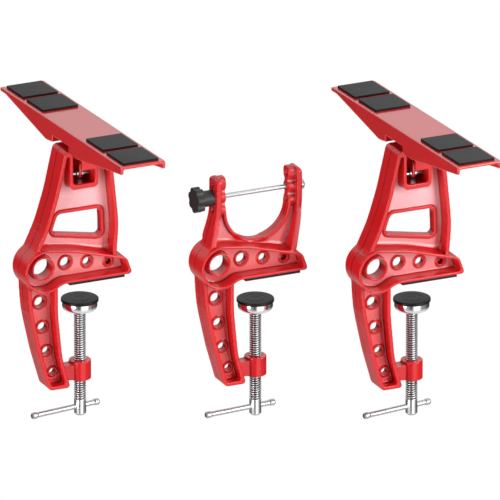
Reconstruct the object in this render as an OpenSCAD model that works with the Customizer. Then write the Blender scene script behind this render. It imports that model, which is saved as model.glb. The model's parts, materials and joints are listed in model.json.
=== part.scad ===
// Ski waxing vise set: a centre vise and two end supports for the edge of a bench.
// Every vise is drawn about its own spindle: X runs along the jaw, Y away from the front, Z up,
// with zero where the spindle's axis meets the bench face of the jaw pad.
// Profiles of the castings are drawn about the centre of the big bore in the hub.

/* [Places] */
// Left end support from the centre vise, along the jaw
left_x = -165; // [-220:1:-130]
// Left end support from the centre vise, along the bench edge
left_y = 62.5; // [40:0.5:120]
// Right end support from the centre vise, along the jaw
right_x = 138; // [125:1:200]
// Right end support from the centre vise, along the bench edge
right_y = -75.5; // [-120:0.5:-50]

/* [Hub and jaw] */
// Radius of the hub
hub_r = 22.9; // [22:0.1:24]
// Middle of that radius below the big bore
hub_low = 1.7; // [0.8:0.1:2.4]
// Middle of that radius beyond the big bore
hub_out = 0.9; // [0:0.1:2]
// Front face of the hub and jaw, in front of the parting plane
hub_front = 19; // [18.6:0.1:22]
// Back face of the hub and jaw, behind the parting plane
hub_back = 14.5; // [14:0.1:18]
// Radius of the big bore
hub_bore_r = 10.4; // [9:0.1:11.5]
// Wall of the ring round the big bore
hub_ring_wall = 2.2; // [1.5:0.1:3]
// Height of that ring in front of the web
hub_ring_h = 10; // [6:0.5:14]
// Reach of the jaw's nose from the hub's centre
jaw_len = 95.3; // [90:0.1:104]
// Jaw's underside below the hub's centre
jaw_drop = 17.2; // [16:0.1:18.6]
// Jaw's shoulder above its nose, over the hub's centre
nose_z = 1.2; // [-2:0.1:4]
// Jaw's shoulder behind its nose
nose_back = 6.5; // [2:0.5:9]
// Angle at which the jaw's top leaves the hub
jaw_slope = 8.4; // [6:0.2:11]
// Radius of the blend from hub to jaw underside
jaw_blend = 18; // [14:1:24]
// Flange wall of hub and jaw
jaw_wall = 2.8; // [2:0.1:3.6]
// Web of the castings
web_t = 7; // [5:0.5:8]

/* [Leg and boss] */
// Length of the leg below the hub's centre
leg_len = 131; // [120:1:145]
// Front face of the leg
leg_front = 14.5; // [11:0.5:17]
// Back face of the leg
leg_back = 9.5; // [8:0.5:13]
// Flange wall of the leg
leg_wall = 4; // [2.5:0.1:4.5]
// Hub's centre to the spindle's axis
spindle_reach = 45.2; // [44:0.1:52]
// Radius of the spindle boss
boss_r = 11.2; // [10:0.1:13]
// Height of the spindle boss
boss_h = 20; // [16:0.5:26]
// Boss underside above the foot of the leg
boss_rise = 3.4; // [0:0.2:8]
// Thickness of the lug between leg and boss
boss_lug_t = 13; // [9:0.5:18]

/* [Lightening holes] */
// Radii of the three jaw holes
jaw_hole_r = [5.5, 4.4, 3.2]; // [2.6:0.1:6]
// Floor left behind the smallest jaw hole
jaw_hole_floor = 1.6; // [1:0.1:3]
// Radii of the four leg holes
leg_hole_r = [5.4, 4.8, 4.1, 3.3]; // [2.6:0.1:5.6]
// Wall of the ring round a lightening hole
ring_wall = 2; // [1:0.1:2.6]
// Height of such a ring over the web
ring_h = 1.4; // [0.8:0.1:3]

/* [End support arm] */
// Top of the head above the hub's centre
head_top = 122; // [118:0.5:128]
// Front face of the arm
arm_front = 17; // [16.5:0.1:18.5]
// Back face of the arm
arm_back = 14; // [14:0.1:14.4]
// Flange wall of the arm
arm_wall = 4; // [3:0.1:5]
// Web at the top of the recess, below the head's top
head_wall = 6; // [4:0.5:9]
// Blend from the arm's outer flank to the hub
arm_blend = 12; // [6:1:20]
// Radius of the window's corners
window_r = 4.5; // [2:0.5:6]
// Width of the raised rim round the window
window_rim = 3.4; // [2:0.1:4]
// Height of that rim over the web
window_rim_h = 1.6; // [0.6:0.1:3]
// Inner width of the head housing
housing_w = 23.6; // [20:0.2:26]
// Side walls of the head housing
housing_wall = 3.4; // [2.6:0.1:4]
// Floor of the housing above the hub's centre
housing_floor = 82; // [80:0.5:84]
// Front opening's lower lip above the floor
housing_lip = 3.6; // [2:0.2:6]
// Height of the front opening
housing_mouth = 13.8; // [11:0.2:16]
// Slot that lets the lug in from the front
housing_slot = 9.3; // [7:0.1:11]

/* [Rest plate] */
// Length of the rest plate
plate_len = 299; // [270:1:320]
// Width of the rest plate
plate_w = 48.4; // [44:0.2:54]
// Thickness of the deck
deck_t = 3; // [2:0.1:4]
// Thickness of the skirts
skirt_t = 3; // [2:0.1:4]
// Deepest part of the skirts below the top
skirt_deep = 23.4; // [21:0.2:25]
// Depth of the skirts at the near end
skirt_near = 8; // [5:0.5:10]
// Depth of the skirts at the far end
skirt_far = 4; // [3.5:0.5:8]
// Level length of the skirts at the far end
skirt_toe = 14; // [5:1:30]
// Thickness of the cross walls at the ends of the notch
cross_wall_t = 3; // [2:0.1:5]
// Length of the notch over the head
notch_len = 40; // [40:0.5:46]
// Top of the notch below the top of the deck
notch_top = 14.7; // [12:0.1:16]
// Top of the plate above the hub's centre
plate_top = 142.6; // [140:0.2:150]
// Middle of the plate beyond the spindle's axis
plate_shift = 4.2; // [2:0.2:6]
// Middle of the plate behind the pivot
plate_along = -0.5; // [-6:0.5:6]
// Lean of the freely tilting plate as it stands, near end up
plate_lean = 2.6; // [0:0.2:4]
// Thickness of the hanging lug
lug_t = 3.4; // [3:0.1:4.6]
// Radius of the lug's round end
lug_r = 5.5; // [5:0.1:6.5]

/* [Rubber pads] */
// Length of a pad along the plate
pad_len = 41.5; // [34:0.5:44]
// Margin of the pads along the plate's sides
pad_margin = 5; // [3:0.5:7]
// Thickness of a pad
pad_t = 2.2; // [1.5:0.1:4]
// Gap between two pads
pad_gap = 8; // [2:0.5:12]
// Margin from the end pad to the end of the plate
pad_end = 5.5; // [3:0.5:8]

/* [Tilt pivot] */
// Radius of the pivot pin
pin_r = 3; // [2.5:0.1:3.4]
// Pivot above the hub's centre
pivot_z = 91.5; // [91:0.1:93]
// Lug's middle before the spindle's axis
lug_x = -0.8; // [-2.5:0.1:1.5]
// Thickness of the retaining washers
clip_t = 1.2; // [0.8:0.1:2]
// Radius of the friction screw's shank
friction_r = 2.5; // [2:0.1:2.8]
// Length of that shank in the web
friction_len = 10; // [6:0.5:14]

/* [Jaw pad] */
// Thickness of the jaw pad
jaw_pad_t = 3; // [2.5:0.1:6]
// Inner end of the jaw pad past the jaw's blend
jaw_pad_gap = 0.3; // [0:0.1:8]
// Nose of the jaw beyond the pad
jaw_pad_short = 8.3; // [5:0.1:12]
// Pad's front and back edge inside the jaw
jaw_pad_inset = 1.5; // [0.5:0.1:4]

/* [Spindle and foot] */
// Radius of the spindle's thread
spindle_r = 6.05; // [5.5:0.05:7]
// Pitch of the thread
pitch = 2; // [1.5:0.25:3]
// Depth of the thread
thread_depth = 0.95; // [0.5:0.05:1.2]
// Plain lower end of the spindle
plain_len = 17.4; // [14:0.2:24]
// Chamfer of the plain end
plain_chamfer = 1.6; // [0.5:0.1:2.5]
// Thread left below the boss
thread_below = 21.5; // [21.5:0.5:30]
// Radius of the spindle's neck
neck_r = 4; // [3:0.1:4.6]
// Gap between jaw pad and foot
foot_gap = 21.5; // [10:0.5:40]
// Radius of the rubber cap
cap_r = 19; // [18:0.1:22]
// Thickness of the rubber cap
cap_t = 3; // [2:0.1:5]
// Depth of the cap's spigot in the cup
cap_spigot = 1.8; // [1:0.1:2.2]
// Radius of the foot cup
cup_r = 17.8; // [16:0.1:17.9]
// Height of the foot cup
cup_h = 9.6; // [9:0.1:14]
// Wall of the foot cup
cup_wall = 1.6; // [1:0.1:2.2]
// Rounding of the cup's lower edge
cup_round = 5; // [3:0.2:6]
// Play of the cup on the neck, above and below
cup_play = 0.45; // [0.4:0.05:0.8]
// Thickness of the thrust washer in the cup
thrust_t = 1.8; // [1:0.1:2.2]
// Radius of the thrust washer
thrust_r = 7.4; // [6.5:0.1:7.6]
// Radius of the peened head over it
peen_r = 5.6; // [5:0.1:6]
// Height of that head
peen_h = 1.6; // [1:0.1:2]

/* [Cross bar] */
// Radius of the cross bar
bar_r = 2.7; // [2.2:0.05:3.2]
// Length of the cross bar
bar_len = 79; // [70:1:110]
// Short side of the bar, as it stands
bar_short = 22; // [18:0.5:35]
// Length of a crimped end
crimp_len = 6.5; // [4:0.5:10]
// Radius of a crimped end
crimp_r = 3.35; // [3.3:0.05:4.2]
// Turn of the bars of the end supports
bar_turn = 8; // [0:1:20]
// Centre vise's spindle and foot below those of the end supports
centre_drop = 4.6; // [0:0.2:10]
// Turn of the bar of the centre vise
centre_bar_turn = 4.5; // [0:0.5:20]
// Bar's axis above the spindle's lower end
bar_rise = 9; // [6:0.2:11]

/* [Cradle] */
// Radius of the cradle
cradle_r = 34.2; // [33:0.1:35]
// Middle of the cradle from the hub's centre
cradle_x = 44.5; // [43.6:0.1:45.2]
// Middle of the cradle above the hub's centre
cradle_z = 53.3; // [52.6:0.1:56]
// Width of the rim round the cradle
rim_w = 3; // [2:0.1:4.5]
// Half of the rim's thickness, front to back
rim_half = 7; // [5:0.1:8]
// Front face of the cradle's outer walls at their foot
cradle_front = 18; // [16:0.5:18.6]
// Back face of the cradle's outer walls at their foot
cradle_back = 10; // [10:0.5:13]
// Front face of those walls at the ears
ear_front = 11; // [9:0.5:13]
// Back face of those walls at the ears
ear_back = 9; // [8:0.5:10]
// Thickness of the outer walls
ear_wall = 5.6; // [3.5:0.1:6.4]
// Outer face of the left ear from the hub's centre
left_ear_x = -1.8; // [-3:0.1:-1]
// Outer face of the right ear from the hub's centre
right_ear_x = 92; // [90:0.2:94]
// Foot of the right ear's wall inside the ear's outer face
ear_lean = 11; // [0:0.5:16]
// Height of the lowest cross hole
ear_hole_z = 54.2; // [53.6:0.2:56]
// Pitch of the cross holes and of the barrels round them
ear_hole_pitch = 13.7; // [13:0.1:14.4]
// Depth of the valleys between the barrels
ear_valley = 2.8; // [1:0.1:4]
// Top of the ears above the highest cross hole
ear_rise = 8; // [7.5:0.1:12]
// Rounding of the ears' top corners
ear_round = 5; // [2:0.5:6]

/* [Rod and knob] */
// Radius of the cross rod
rod_r = 2.3; // [1.8:0.05:2.8]
// Clearance of the rod in the ears
rod_clear = 0.25; // [0.15:0.05:0.5]
// Radius of the rod's head
rod_head_r = 5.5; // [4.5:0.1:7]
// Height of the rod's domed head
rod_head_h = 6.5; // [3.5:0.1:8]
// Height of the dome alone
rod_dome_h = 2.4; // [1:0.1:3.4]
// Radius of the knob's star
knob_r = 13.2; // [12:0.2:17]
// Thickness of the star
knob_head = 8.2; // [7:0.2:12]
// Radius of the knob's shank
knob_shank_r = 8.2; // [6.6:0.1:9]
// Length of the knob's shank
knob_shank = 11.6; // [9:0.2:16]
// Lobes of the knob
knob_lobes = 7; // [5:1:9]
// Radius of the threaded insert
insert_r = 4.5; // [4:0.1:5.5]
// Length of the threaded insert
insert_len = 16; // [12:0.5:18]
// Thickness of the knob's washer
washer_t = 1.2; // [0.8:0.1:2]
// Radius of the knob's washer
washer_r = 6.5; // [5.5:0.1:6.8]

/* [Hidden] */
$fn = 72;

arc_step = 6;
running_fit = 0.06;
fixed_fit = 0.02;
small_gap = 0.3;
past = 1;
min_pocket_r = 2.5;

hub_z = jaw_drop + jaw_pad_t;
web_front = web_t / 2;
web_back = web_t / 2;

// Heights about the bench face
leg_foot = hub_z - leg_len;
boss_low = leg_foot + boss_rise;
boss_high = boss_low + boss_h;
cup_high = -foot_gap - cap_t;
cup_low = cup_high - cup_h;
shoulder_z = cup_low - cup_play;
cup_floor_t = 2;
thrust_low = cup_low + cup_floor_t + cup_play;
peen_low = thrust_low + thrust_t + small_gap / 3;
thread_low = boss_low - thread_below;
spindle_low = thread_low - plain_len;
bar_z = spindle_low + bar_rise;

steel = [0.78, 0.79, 0.81];
red = [0.83, 0.14, 0.16];
black = [0.13, 0.13, 0.14];
rubber = [0.22, 0.22, 0.23];
brass = [0.75, 0.6, 0.3];

// Corner loops are lists of [x, z, radius], counterclockwise

function side_normal(a, b) = let (d = [b[0] - a[0], b[1] - a[1]]) [-d[1], d[0]] / norm(d);

function bend(a, p, b) = (p[0] - a[0]) * (b[1] - p[1]) - (p[1] - a[1]) * (b[0] - p[0]);

function corner_radius(r, d, turn) =
    d == 0 || r == 0 ? r : (turn > 0 ? max(r - d, min_pocket_r) : r + d);

// The loop with every side moved inwards by d
function inset(loop, d) = [
    for (i = [0 : len(loop) - 1])
        let (
            a = loop[(i + len(loop) - 1) % len(loop)],
            p = loop[i],
            b = loop[(i + 1) % len(loop)],
            n1 = side_normal(a, p),
            n2 = side_normal(p, b),
            shift = d * (n1 + n2) / (1 + n1 * n2)
        )
        [p[0] + shift[0], p[1] + shift[1], corner_radius(p[2], d, bend(a, p, b))]
];

function unit(v) = v / norm(v);

// Points of an arc that rounds corner p between its neighbours a and b
function arc_points(a, p, b) = let (
        q = [p[0], p[1]],
        to_a = unit([a[0] - p[0], a[1] - p[1]]),
        to_b = unit([b[0] - p[0], b[1] - p[1]]),
        angle = acos(max(-1, min(1, to_a * to_b))),
        centre = q + unit(to_a + to_b) * p[2] / sin(angle / 2),
        start = q + to_a * p[2] / tan(angle / 2) - centre,
        sweep = (180 - angle) * sign(bend(a, p, b)),
        steps = max(2, ceil(abs(sweep) / arc_step))
    )
    [
        for (k = [0 : steps])
            let (t = sweep * k / steps)
            centre + [start[0] * cos(t) - start[1] * sin(t), start[0] * sin(t) + start[1] * cos(t)]
    ];

function rounded(loop) = [
    for (i = [0 : len(loop) - 1])
        let (
            a = loop[(i + len(loop) - 1) % len(loop)],
            p = loop[i],
            b = loop[(i + 1) % len(loop)],
            points = p[2] == 0 ? [[p[0], p[1]]] : arc_points(a, p, b)
        )
        for (point = points) point
];

module outline(loop, d = 0) {
    polygon(rounded(inset(loop, d)));
}

// Extrudes a profile in X and Z from y = near to y = far
module slab(near, far) {
    translate([0, far, 0]) rotate([90, 0, 0]) linear_extrude(height = far - near) children();
}

// Extrudes a profile in Y and Z from x = low to x = high
module bar_slab(low, high) {
    translate([low, 0, 0]) rotate([90, 0, 90]) linear_extrude(height = high - low) children();
}

module bore_y(x, z, r, near, far) {
    translate([x, far, z]) rotate([90, 0, 0]) cylinder(r = r, h = far - near);
}

module bore_x(z, r, low, high) {
    translate([low, 0, z]) rotate([0, 90, 0]) cylinder(r = r, h = high - low);
}

// Hub and jaw

hub_middle = [hub_out, -hub_low];
jaw_top_x = hub_out + hub_r * sin(jaw_slope);
jaw_top_z = -hub_low + hub_r * cos(jaw_slope);
jaw_knee = 34;
blend_x = hub_out + sqrt(pow(hub_r + jaw_blend, 2) - pow(jaw_drop + jaw_blend - hub_low, 2));

jaw_loop = [
    [0, -jaw_drop, 0],
    [jaw_len, -jaw_drop, 3],
    [jaw_len - nose_back, nose_z, 9],
    [jaw_knee, jaw_top_z - (jaw_knee - jaw_top_x) * tan(jaw_slope), 90],
    [jaw_top_x, jaw_top_z, 0]
];

module hub_and_jaw(d = 0) {
    translate(hub_middle) circle(r = hub_r - d);
    outline(jaw_loop, d);
    difference() {
        polygon([hub_middle, [blend_x, -jaw_drop - jaw_blend], [blend_x, 0]]);
        translate([blend_x, -jaw_drop - jaw_blend]) circle(r = jaw_blend + d);
    }
}

jaw_hole_at = [[27.7, 0], [51.4, -2.7], [74.7, -6.2]];

// Leg

leg_loop = [
    [-18.8, 0, 0],
    [-16.2, -45, 160],
    [-6, -0.7 * leg_len, 160],
    [5.2, -leg_len, 6],
    [28.8, -leg_len, 3],
    [19.9, -0.754 * leg_len, 90],
    [15.4, -52, 120],
    [15.4, 0, 0]
];

leg_hole_at = [
    [-0.6, -38],
    [2.2, -65],
    [6.4, -0.695 * leg_len],
    [12.9, -0.873 * leg_len]
];

module ring_front(at, r) {
    bore_y(at[0], at[1], r + ring_wall, -web_front - ring_h, 0);
}

// Everything below the arm, about the hub's centre
module clamp_blank() {
    slab(-leg_front, leg_back) outline(leg_loop);
    slab(-hub_front, hub_back) hub_and_jaw();
}

module clamp_pockets() {
    for (span = [[-hub_front - past, -web_front], [web_back, hub_back + past]])
        slab(span[0], span[1]) hub_and_jaw(jaw_wall);
    for (span = [[-leg_front - past, -web_front], [web_back, leg_back + past]])
        slab(span[0], span[1]) difference() {
            outline(leg_loop, leg_wall);
            hub_and_jaw();
        }
}

module clamp_rings() {
    bore_y(0, 0, hub_bore_r + hub_ring_wall, -web_front - hub_ring_h, web_back);
    for (i = [0 : len(jaw_hole_r) - 1]) ring_front(jaw_hole_at[i], jaw_hole_r[i]);
    for (i = [0 : len(leg_hole_r) - 1]) ring_front(leg_hole_at[i], leg_hole_r[i]);
}

module clamp_bores() {
    bore_y(0, 0, hub_bore_r, -hub_front - past, hub_back + past);
    last = len(jaw_hole_r) - 1;
    for (i = [0 : last])
        bore_y(jaw_hole_at[i][0], jaw_hole_at[i][1], jaw_hole_r[i], -hub_front,
            i == last ? web_back - jaw_hole_floor : hub_back);
    for (i = [0 : len(leg_hole_r) - 1])
        bore_y(leg_hole_at[i][0], leg_hole_at[i][1], leg_hole_r[i], -leg_front, leg_back);
}

// Boss that carries the spindle, with the lug that joins it to the leg
module spindle_boss() {
    boss_root = 24;
    translate([spindle_reach, 0, boss_low - hub_z]) cylinder(r = boss_r, h = boss_h);
    translate([boss_root, -boss_lug_t / 2, boss_low - hub_z + 1])
        cube([spindle_reach - boss_root, boss_lug_t, boss_h - 4]);
}

module spindle_bore() {
    translate([spindle_reach, 0, boss_low - hub_z - past])
        cylinder(r = spindle_r + running_fit, h = boss_h + 2 * past);
}

// Arm of an end support

arm_loop = [
    [-16.5, 5.5, 0],
    [78, 0, 0],
    [81, 38, 120],
    [72.6, head_top, 7],
    [22.4, head_top, 5.5],
    [16.8, head_top - 24, 120],
    [11.8, head_top - 46, 150],
    [1.5, 43.5, 110]
];

window_loop = [
    [12.7, 33.3, window_r],
    [67.1, 23.2, window_r],
    [66.1, 52.4, window_r],
    [19.3, 52.6, window_r + 1.5]
];

housing_mid = spindle_reach + lug_x - 1;
housing_left = housing_mid - housing_w / 2;
housing_right = housing_mid + housing_w / 2;
housing_front_wall = 3.5;
housing_back_wall = 2;
housing_base = 1.5;

// Outside of the housing that stands out of the web in the head
module housing_box() {
    low = housing_floor - housing_base;
    outline([
        [housing_left - housing_wall, low, 5],
        [housing_right + housing_wall, low, 5],
        [housing_right + housing_wall, head_top, 0],
        [housing_left - housing_wall, head_top, 0]
    ]);
}

module housing_cavity() {
    translate([housing_left, -arm_front + housing_front_wall, housing_floor])
        cube([
            housing_w,
            arm_front - housing_front_wall + arm_back - housing_back_wall,
            head_top - housing_floor + past
        ]);
}

// Front opening of the housing with the slot above it
module housing_opening() {
    low = housing_floor + housing_lip;
    mid = low + housing_mouth;
    slab(-arm_front - past, -arm_front + housing_front_wall + past) outline([
        [housing_left, low, 3],
        [housing_right, low, 3],
        [housing_right, mid, 1.5],
        [housing_left + housing_slot, mid, 1.5],
        [housing_left + housing_slot, head_top + past, 0],
        [housing_left, head_top + past, 0]
    ]);
}

// How far the ends of a flank blend sink into the flank and the hub
blend_sink = 0.05;

// Fills the corner between the hub and a flank that runs from foot to up
module flank_blend(foot, up) {
    along = unit([up[0] - foot[0], up[1] - foot[1]]);
    out = [-along[1], along[0]];
    off = ([foot[0], foot[1]] - hub_middle) * out;
    clear = arm_blend - blend_sink;
    reach = sqrt(pow(hub_r + clear, 2) - pow(off + clear, 2));
    middle = hub_middle + out * (off + clear) + along * reach;
    difference() {
        polygon([
            hub_middle,
            middle - out * arm_blend,
            middle,
            hub_middle + (middle - hub_middle) * hub_r / (hub_r + arm_blend)
        ]);
        translate(middle) circle(r = arm_blend);
    }
}

module arm_pockets() {
    for (span = [[-arm_front - past, -web_front], [web_back, arm_back + past]])
        slab(span[0], span[1]) difference() {
            intersection() {
                outline(arm_loop, arm_wall);
                translate([-spindle_reach, 0]) square([4 * spindle_reach, head_top - head_wall]);
            }
            housing_box();
            hub_and_jaw();
        }
}

module end_support_frame() {
    color(red) translate([-spindle_reach, 0, hub_z]) difference() {
        union() {
            difference() {
                union() {
                    clamp_blank();
                    slab(-arm_front, arm_back) {
                        outline(arm_loop);
                        flank_blend(arm_loop[0], arm_loop[len(arm_loop) - 1]);
                    }
                }
                clamp_pockets();
                arm_pockets();
            }
            slab(-web_front - window_rim_h, web_back + window_rim_h)
                outline(window_loop, -window_rim);
            clamp_rings();
            spindle_boss();
        }
        clamp_bores();
        spindle_bore();
        housing_cavity();
        housing_opening();
        slab(-arm_front, arm_back) outline(window_loop);
        bore_x(pivot_z, pin_r + fixed_fit, housing_left - housing_wall / 2,
            housing_right + housing_wall + past);
        translate([spindle_reach + lug_x, 0, housing_floor - friction_len])
            cylinder(r = friction_r + fixed_fit, h = friction_len + past);
    }
}

// Cradle of the centre vise

ear_hole_heights = [for (i = [0 : 2]) ear_hole_z + i * ear_hole_pitch];
barrel_r = ear_hole_pitch / 2;
ear_top = ear_hole_heights[2] + ear_rise;

// Outer outline of the cradle with its ears up to the height given
function cradle_loop(top) = [
    [-14.5, 8, 0],
    [right_ear_x - ear_lean, 0, 0],
    [right_ear_x, 45, 120],
    [right_ear_x, top, ear_round],
    [left_ear_x, top, ear_round],
    [left_ear_x, 52, 60]
];

module cradle_opening(r) {
    translate([cradle_x, cradle_z]) circle(r = r, $fn = 120);
    translate([cradle_x - r, cradle_z]) square([2 * r, ear_top]);
}

// Side view of the outer walls: deep at the jaw, thinner at the ears
module cradle_side() {
    outline([
        [-cradle_front, 0, 0],
        [cradle_back, 0, 0],
        [cradle_back, 10, 0],
        [ear_back, ear_hole_z - barrel_r, 0],
        [ear_back, ear_top, ear_round],
        [-ear_front, ear_top, ear_round],
        [-ear_front, ear_hole_z - barrel_r, 0],
        [-cradle_front, 10, 0]
    ]);
}

module cradle_walls() {
    intersection() {
        slab(-cradle_front, cradle_back) {
            difference() {
                outline(cradle_loop(ear_top));
                outline(cradle_loop(2 * ear_top), ear_wall);
            }
            flank_blend(cradle_loop(ear_top)[0], cradle_loop(ear_top)[5]);
        }
        bar_slab(-spindle_reach, right_ear_x + past) cradle_side();
    }
}

// Web and rim below the lowest cross holes
module cradle_web() {
    slab(-web_front, web_back) difference() {
        cradle_below_ears();
        cradle_opening(cradle_r);
    }
    slab(-rim_half, rim_half) difference() {
        intersection() {
            cradle_below_ears();
            cradle_opening(cradle_r + rim_w);
        }
        cradle_opening(cradle_r);
    }
}

module cradle_below_ears() {
    intersection() {
        outline(cradle_loop(ear_top));
        translate([-spindle_reach, 0]) square([4 * spindle_reach, ear_hole_z]);
    }
}

// Three barrels between the inner face of an ear and its outer wall, the top one squared off
module ear_barrels(low, high) {
    core_half = barrel_r - ear_valley;
    translate([low, -core_half, ear_hole_z]) cube([high - low, 2 * core_half, 2 * ear_hole_pitch]);
    for (z = ear_hole_heights) bore_x(z, barrel_r, low, high);
    bar_slab(low, high) outline([
        [-barrel_r, ear_hole_heights[2], 0],
        [barrel_r, ear_hole_heights[2], 0],
        [barrel_r, ear_top, ear_round],
        [-barrel_r, ear_top, ear_round]
    ]);
}

module centre_vise_frame() {
    color(red) translate([-spindle_reach, 0, hub_z]) difference() {
        union() {
            difference() {
                union() {
                    clamp_blank();
                    cradle_walls();
                    cradle_web();
                }
                clamp_pockets();
            }
            clamp_rings();
            spindle_boss();
            ear_barrels(left_ear_x + ear_wall / 2, cradle_x - cradle_r);
            ear_barrels(cradle_x + cradle_r, right_ear_x - ear_wall / 2);
        }
        clamp_bores();
        spindle_bore();
        for (z = ear_hole_heights)
            bore_x(z, rod_r + rod_clear, left_ear_x - past, right_ear_x + past);
    }
}

// Rest plate, about the pivot, level

deck_z = plate_top - pivot_z;
half_len = plate_len / 2;
half_notch = notch_len / 2;
skirt_flat = 36;
notch_relief = 1.8;
near_end = plate_along - half_len;
far_end = plate_along + half_len;

skirt_loop = [
    [near_end, deck_z - skirt_near, 1.5],
    [-skirt_flat, deck_z - skirt_deep, 20],
    [-half_notch, deck_z - skirt_deep + notch_relief, 1],
    [-half_notch, deck_z - notch_top, 1],
    [half_notch, deck_z - notch_top, 1],
    [half_notch, deck_z - skirt_deep + notch_relief, 1],
    [skirt_flat, deck_z - skirt_deep, 20],
    [far_end - skirt_toe, deck_z - skirt_far, 10],
    [far_end, deck_z - skirt_far, 1],
    [far_end, deck_z, 0],
    [near_end, deck_z, 0]
];

lug_top_half = 14;

lug_loop = [
    [-lug_r, 0, 0],
    [lug_r, 0, 0],
    [lug_r + 0.6, deck_z - deck_t - 14, 6],
    [lug_top_half, deck_z - deck_t, 0],
    [-lug_top_half, deck_z - deck_t, 0],
    [-lug_r - 0.6, deck_z - deck_t - 14, 6]
];

// Puts a piece drawn about the pivot at its leaning place on the vise
module on_pivot() {
    translate([0, 0, hub_z + pivot_z]) rotate([-plate_lean, 0, 0]) children();
}

module rest_plate() {
    color(red) on_pivot() difference() {
        union() {
            translate([plate_shift - plate_w / 2, near_end, deck_z - deck_t])
                cube([plate_w, plate_len, deck_t]);
            for (low = [plate_shift - plate_w / 2, plate_shift + plate_w / 2 - skirt_t])
                bar_slab(low, low + skirt_t) outline(skirt_loop);
            for (low = [-half_notch - cross_wall_t, half_notch])
                translate([plate_shift - plate_w / 2, low, deck_z - skirt_deep + notch_relief])
                    cube([plate_w, cross_wall_t, skirt_deep - notch_relief]);
            bar_slab(lug_x - lug_t / 2, lug_x + lug_t / 2) {
                outline(lug_loop);
                circle(r = lug_r);
            }
        }
        bore_x(0, pin_r + running_fit, lug_x - lug_t, lug_x + lug_t);
    }
}

pad_places = [
    near_end + pad_end,
    near_end + pad_end + pad_len + pad_gap,
    far_end - pad_end - 2 * pad_len - pad_gap,
    far_end - pad_end - pad_len
];

module rubber_pad(i) {
    color(rubber) on_pivot()
        translate([plate_shift - plate_w / 2 + pad_margin, pad_places[i], deck_z])
            linear_extrude(height = pad_t)
                outline([
                    [0, 0, 1],
                    [plate_w - 2 * pad_margin, 0, 1],
                    [plate_w - 2 * pad_margin, pad_len, 1],
                    [0, pad_len, 1]
                ]);
}

// Tilt pivot

module pivot_pin() {
    color(steel) translate([-spindle_reach, 0, hub_z])
        bore_x(pivot_z, pin_r, housing_left - housing_wall / 2, housing_right + housing_wall);
}

module pivot_washers() {
    color(steel) translate([0, 0, hub_z]) difference() {
        for (side = [-1, 1])
            let (x = lug_x + side * (lug_t / 2 + small_gap + clip_t / 2))
                bore_x(pivot_z, 1.6 * pin_r, x - clip_t / 2, x + clip_t / 2);
        bore_x(pivot_z, pin_r + fixed_fit, lug_x - spindle_reach, lug_x + spindle_reach);
    }
}

module friction_screw() {
    head_h = pivot_z - lug_r - small_gap - housing_floor;
    color(steel) translate([lug_x, 0, hub_z + housing_floor]) {
        cylinder(r = 1.75 * friction_r, h = head_h, $fn = 6);
        translate([0, 0, -friction_len]) cylinder(r = friction_r, h = friction_len + head_h / 2);
    }
}

// Jaw pad

module jaw_pad() {
    chamfer = 2;
    near = -hub_front + jaw_pad_inset;
    far = hub_back - jaw_pad_inset;
    low_x = blend_x + jaw_pad_gap - spindle_reach;
    high_x = jaw_len - jaw_pad_short - spindle_reach;
    color(black) slab(near, far)
        polygon([[low_x, jaw_pad_t], [low_x + chamfer, 0], [high_x, 0], [high_x, jaw_pad_t]]);
}

// Spindle and foot

thread_turns = floor((shoulder_z - 2 - thread_low) / pitch);
thread_start = thread_low + pitch * thread_turns;

// Flanks of the thread as rings, from its upper to its lower end
thread_profile = [
    for (i = [0 : thread_turns])
        let (z = thread_start - i * pitch)
        for (point = i == thread_turns
                ? [[spindle_r - thread_depth, z]]
                : [[spindle_r - thread_depth, z], [spindle_r, z - pitch / 2]])
            point
];

module spindle(turn) {
    color(steel) difference() {
        rotate_extrude() polygon(concat(
            [
                [0, peen_low + peen_h],
                [peen_r - 1, peen_low + peen_h],
                [peen_r, peen_low + peen_h - 0.6],
                [peen_r, peen_low],
                [neck_r, peen_low],
                [neck_r, shoulder_z],
                [spindle_r - thread_depth, shoulder_z]
            ],
            thread_profile,
            [
                [spindle_r, thread_low],
                [spindle_r, spindle_low + plain_chamfer],
                [spindle_r - plain_chamfer, spindle_low],
                [0, spindle_low]
            ]
        ));
        translate([0, 0, bar_z]) rotate([0, 0, turn])
            bore_x(0, bar_r + running_fit, -2 * spindle_r, 2 * spindle_r);
    }
}

cup_arc = [
    for (k = [0 : 6])
        let (a = -90 + 15 * k)
        [cup_r - cup_round + cup_round * cos(a), cup_low + cup_round + cup_round * sin(a)]
];

cup_inner_arc = [
    for (k = [6 : -1 : 0])
        let (a = -90 + 15 * k, r = cup_round - cup_wall)
        [cup_r - cup_round + r * cos(a), cup_low + cup_floor_t + r + r * sin(a)]
];

module foot_cup() {
    cup_hole_r = neck_r + 1;
    color(steel) rotate_extrude() polygon(concat(
        [[cup_hole_r, cup_low]],
        cup_arc,
        [[cup_r, cup_high], [cup_r - cup_wall, cup_high]],
        cup_inner_arc,
        [[cup_hole_r, cup_low + cup_floor_t]]
    ));
}

module thrust_washer() {
    color(steel) translate([0, 0, thrust_low]) difference() {
        cylinder(r = thrust_r, h = thrust_t);
        translate([0, 0, -past]) cylinder(r = neck_r + running_fit, h = thrust_t + 2 * past);
    }
}

module foot_cap() {
    spigot_r = cup_r - cup_wall - fixed_fit;
    color(black) rotate_extrude() polygon([
        [0, -foot_gap],
        [cap_r - 0.8, -foot_gap],
        [cap_r, -foot_gap - 0.8],
        [cap_r, cup_high],
        [spigot_r, cup_high],
        [spigot_r, cup_high - cap_spigot],
        [0, cup_high - cap_spigot]
    ]);
}

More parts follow.
